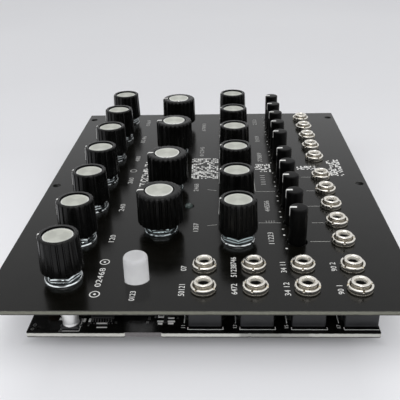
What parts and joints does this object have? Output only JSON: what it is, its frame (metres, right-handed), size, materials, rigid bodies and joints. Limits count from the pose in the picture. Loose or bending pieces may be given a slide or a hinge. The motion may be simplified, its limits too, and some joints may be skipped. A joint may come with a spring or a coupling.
{
  "type": "eurorack module",
  "caption": "Wide synthesizer rack module: dark printed panel with fluted knobs, slim trimmers, jack sockets, a push button and a lamp, on a circuit board.",
  "frame": {"origin": "centre of the panel's outline in X and Y, at the height of the lowest parts behind the board", "axes": "+X across the module's width to its right, +Y to its top edge, +Z out of the panel's front"},
  "size_m": [0.1724, 0.1284, 0.0333],
  "materials": {
    "panel_laminate": "satin dark olive-grey solder mask with fine white print, pale olive cut edge",
    "board_laminate": "glossy black solder mask with white print, pale cut edge",
    "knob_plastic": "black fluted plastic, brushed aluminium disc on top, white pointer",
    "trimmer_plastic": "satin black, white pointer",
    "potentiometer_metal": "bright zinc and nickel plating",
    "trimmer_housing": "moulded housing with black collar",
    "socket_metal": "warm nickel plated bushing and nut, black moulded body",
    "button_plastic": "white translucent, soft gloss",
    "switch_plastic": "black moulded",
    "lamp_epoxy": "clear grey-green epoxy",
    "capacitor_aluminium": "bright aluminium can on a black base",
    "chip_resin": "black moulded resin, tinned leads",
    "header_plastic": "black moulded block, gilt pins"
  },
  "bodies": {
    "module": {"front_panel": "panel_laminate", "main_board": "board_laminate", "pots_top_row": "potentiometer_metal", "pots_large_row": "potentiometer_metal", "pots_mid_row": "potentiometer_metal", "trimmer_row": "trimmer_housing", "button_switch": "switch_plastic", "status_lamp": "lamp_epoxy", "edge_capacitor": "capacitor_aluminium", "supply_capacitor_left": "capacitor_aluminium", "supply_capacitor_right": "capacitor_aluminium", "processor_chip": "chip_resin", "converter_chip": "chip_resin", "power_header": "header_plastic", "jack_io_1": "socket_metal", "jack_io_2": "socket_metal", "jack_io_3": "socket_metal", "jack_io_4": "socket_metal", "jack_io_5": "socket_metal", "jack_io_6": "socket_metal", "jack_io_7": "socket_metal", "jack_io_8": "socket_metal", "jack_cv_1": "socket_metal", "jack_cv_2": "socket_metal", "jack_cv_3": "socket_metal", "jack_cv_4": "socket_metal", "jack_cv_5": "socket_metal", "jack_cv_6": "socket_metal", "jack_cv_7": "socket_metal", "jack_cv_8": "socket_metal", "jack_cv_9": "socket_metal", "jack_cv_10": "socket_metal"},
    "knob_top_1_body": {"knob_top_1": "knob_plastic"},
    "knob_top_2_body": {"knob_top_2": "knob_plastic"},
    "knob_top_3_body": {"knob_top_3": "knob_plastic"},
    "knob_top_4_body": {"knob_top_4": "knob_plastic"},
    "knob_top_5_body": {"knob_top_5": "knob_plastic"},
    "knob_top_6_body": {"knob_top_6": "knob_plastic"},
    "knob_top_7_body": {"knob_top_7": "knob_plastic"},
    "knob_large_1_body": {"knob_large_1": "knob_plastic"},
    "knob_large_2_body": {"knob_large_2": "knob_plastic"},
    "knob_large_3_body": {"knob_large_3": "knob_plastic"},
    "knob_large_4_body": {"knob_large_4": "knob_plastic"},
    "knob_mid_1_body": {"knob_mid_1": "knob_plastic"},
    "knob_mid_2_body": {"knob_mid_2": "knob_plastic"},
    "knob_mid_3_body": {"knob_mid_3": "knob_plastic"},
    "knob_mid_4_body": {"knob_mid_4": "knob_plastic"},
    "knob_mid_5_body": {"knob_mid_5": "knob_plastic"},
    "knob_mid_6_body": {"knob_mid_6": "knob_plastic"},
    "trim_knob_1_body": {"trim_knob_1": "trimmer_plastic"},
    "trim_knob_2_body": {"trim_knob_2": "trimmer_plastic"},
    "trim_knob_3_body": {"trim_knob_3": "trimmer_plastic"},
    "trim_knob_4_body": {"trim_knob_4": "trimmer_plastic"},
    "trim_knob_5_body": {"trim_knob_5": "trimmer_plastic"},
    "trim_knob_6_body": {"trim_knob_6": "trimmer_plastic"},
    "trim_knob_7_body": {"trim_knob_7": "trimmer_plastic"},
    "trim_knob_8_body": {"trim_knob_8": "trimmer_plastic"},
    "trim_knob_9_body": {"trim_knob_9": "trimmer_plastic"},
    "trim_knob_10_body": {"trim_knob_10": "trimmer_plastic"},
    "button_body": {"button_cap": "button_plastic"}
  },
  "joints": [
    {"name": "knob_top_1_turn", "type": "hinge", "parent": "module", "child": "knob_top_1_body", "pos_m": [-0.0693, 0.0426, 0.0178], "axis": [0, 0, 1], "range_deg": [-150, 150]},
    {"name": "knob_top_2_turn", "type": "hinge", "parent": "module", "child": "knob_top_2_body", "pos_m": [-0.046, 0.0426, 0.0178], "axis": [0, 0, 1], "range_deg": [-150, 150]},
    {"name": "knob_top_3_turn", "type": "hinge", "parent": "module", "child": "knob_top_3_body", "pos_m": [-0.022, 0.0426, 0.0178], "axis": [0, 0, 1], "range_deg": [-150, 150]},
    {"name": "knob_top_4_turn", "type": "hinge", "parent": "module", "child": "knob_top_4_body", "pos_m": [0.0018, 0.0426, 0.0178], "axis": [0, 0, 1], "range_deg": [-150, 150]},
    {"name": "knob_top_5_turn", "type": "hinge", "parent": "module", "child": "knob_top_5_body", "pos_m": [0.0257, 0.0426, 0.0178], "axis": [0, 0, 1], "range_deg": [-150, 150]},
    {"name": "knob_top_6_turn", "type": "hinge", "parent": "module", "child": "knob_top_6_body", "pos_m": [0.0496, 0.0426, 0.0178], "axis": [0, 0, 1], "range_deg": [-150, 150]},
    {"name": "knob_top_7_turn", "type": "hinge", "parent": "module", "child": "knob_top_7_body", "pos_m": [0.0738, 0.0426, 0.0178], "axis": [0, 0, 1], "range_deg": [-150, 150]},
    {"name": "knob_large_1_turn", "type": "hinge", "parent": "module", "child": "knob_large_1_body", "pos_m": [-0.039, 0.0152, 0.0178], "axis": [0, 0, 1], "range_deg": [-150, 150]},
    {"name": "knob_large_2_turn", "type": "hinge", "parent": "module", "child": "knob_large_2_body", "pos_m": [-0.0055, 0.0152, 0.0178], "axis": [0, 0, 1], "range_deg": [-150, 150]},
    {"name": "knob_large_3_turn", "type": "hinge", "parent": "module", "child": "knob_large_3_body", "pos_m": [0.0328, 0.0152, 0.0178], "axis": [0, 0, 1], "range_deg": [-150, 150]},
    {"name": "knob_large_4_turn", "type": "hinge", "parent": "module", "child": "knob_large_4_body", "pos_m": [0.066, 0.0152, 0.0178], "axis": [0, 0, 1], "range_deg": [-150, 150]},
    {"name": "knob_mid_1_turn", "type": "hinge", "parent": "module", "child": "knob_mid_1_body", "pos_m": [-0.046, -0.0116, 0.0178], "axis": [0, 0, 1], "range_deg": [-150, 150]},
    {"name": "knob_mid_2_turn", "type": "hinge", "parent": "module", "child": "knob_mid_2_body", "pos_m": [-0.022, -0.0116, 0.0178], "axis": [0, 0, 1], "range_deg": [-150, 150]},
    {"name": "knob_mid_3_turn", "type": "hinge", "parent": "module", "child": "knob_mid_3_body", "pos_m": [0.0018, -0.0116, 0.0178], "axis": [0, 0, 1], "range_deg": [-150, 150]},
    {"name": "knob_mid_4_turn", "type": "hinge", "parent": "module", "child": "knob_mid_4_body", "pos_m": [0.0257, -0.0116, 0.0178], "axis": [0, 0, 1], "range_deg": [-150, 150]},
    {"name": "knob_mid_5_turn", "type": "hinge", "parent": "module", "child": "knob_mid_5_body", "pos_m": [0.0496, -0.0116, 0.0178], "axis": [0, 0, 1], "range_deg": [-150, 150]},
    {"name": "knob_mid_6_turn", "type": "hinge", "parent": "module", "child": "knob_mid_6_body", "pos_m": [0.0738, -0.0116, 0.0178], "axis": [0, 0, 1], "range_deg": [-150, 150]},
    {"name": "trim_knob_1_turn", "type": "hinge", "parent": "module", "child": "trim_knob_1_body", "pos_m": [-0.0482, -0.03135, 0.0178], "axis": [0, 0, 1], "range_deg": [-150, 150]},
    {"name": "trim_knob_2_turn", "type": "hinge", "parent": "module", "child": "trim_knob_2_body", "pos_m": [-0.0352, -0.03135, 0.0178], "axis": [0, 0, 1], "range_deg": [-150, 150]},
    {"name": "trim_knob_3_turn", "type": "hinge", "parent": "module", "child": "trim_knob_3_body", "pos_m": [-0.0222, -0.03135, 0.0178], "axis": [0, 0, 1], "range_deg": [-150, 150]},
    {"name": "trim_knob_4_turn", "type": "hinge", "parent": "module", "child": "trim_knob_4_body", "pos_m": [-0.0092, -0.03135, 0.0178], "axis": [0, 0, 1], "range_deg": [-150, 150]},
    {"name": "trim_knob_5_turn", "type": "hinge", "parent": "module", "child": "trim_knob_5_body", "pos_m": [0.0038, -0.03135, 0.0178], "axis": [0, 0, 1], "range_deg": [-150, 150]},
    {"name": "trim_knob_6_turn", "type": "hinge", "parent": "module", "child": "trim_knob_6_body", "pos_m": [0.0235, -0.03135, 0.0178], "axis": [0, 0, 1], "range_deg": [-150, 150]},
    {"name": "trim_knob_7_turn", "type": "hinge", "parent": "module", "child": "trim_knob_7_body", "pos_m": [0.0365, -0.03135, 0.0178], "axis": [0, 0, 1], "range_deg": [-150, 150]},
    {"name": "trim_knob_8_turn", "type": "hinge", "parent": "module", "child": "trim_knob_8_body", "pos_m": [0.0495, -0.03135, 0.0178], "axis": [0, 0, 1], "range_deg": [-150, 150]},
    {"name": "trim_knob_9_turn", "type": "hinge", "parent": "module", "child": "trim_knob_9_body", "pos_m": [0.0625, -0.03135, 0.0178], "axis": [0, 0, 1], "range_deg": [-150, 150]},
    {"name": "trim_knob_10_turn", "type": "hinge", "parent": "module", "child": "trim_knob_10_body", "pos_m": [0.0756, -0.03135, 0.0178], "axis": [0, 0, 1], "range_deg": [-150, 150]},
    {"name": "button_press", "type": "slide", "parent": "module", "child": "button_body", "axis": [0, 0, -1], "range_m": [0, 0.0008], "stiffness_N_per_m": 1200, "springref_m": -0.0008}
  ]
}
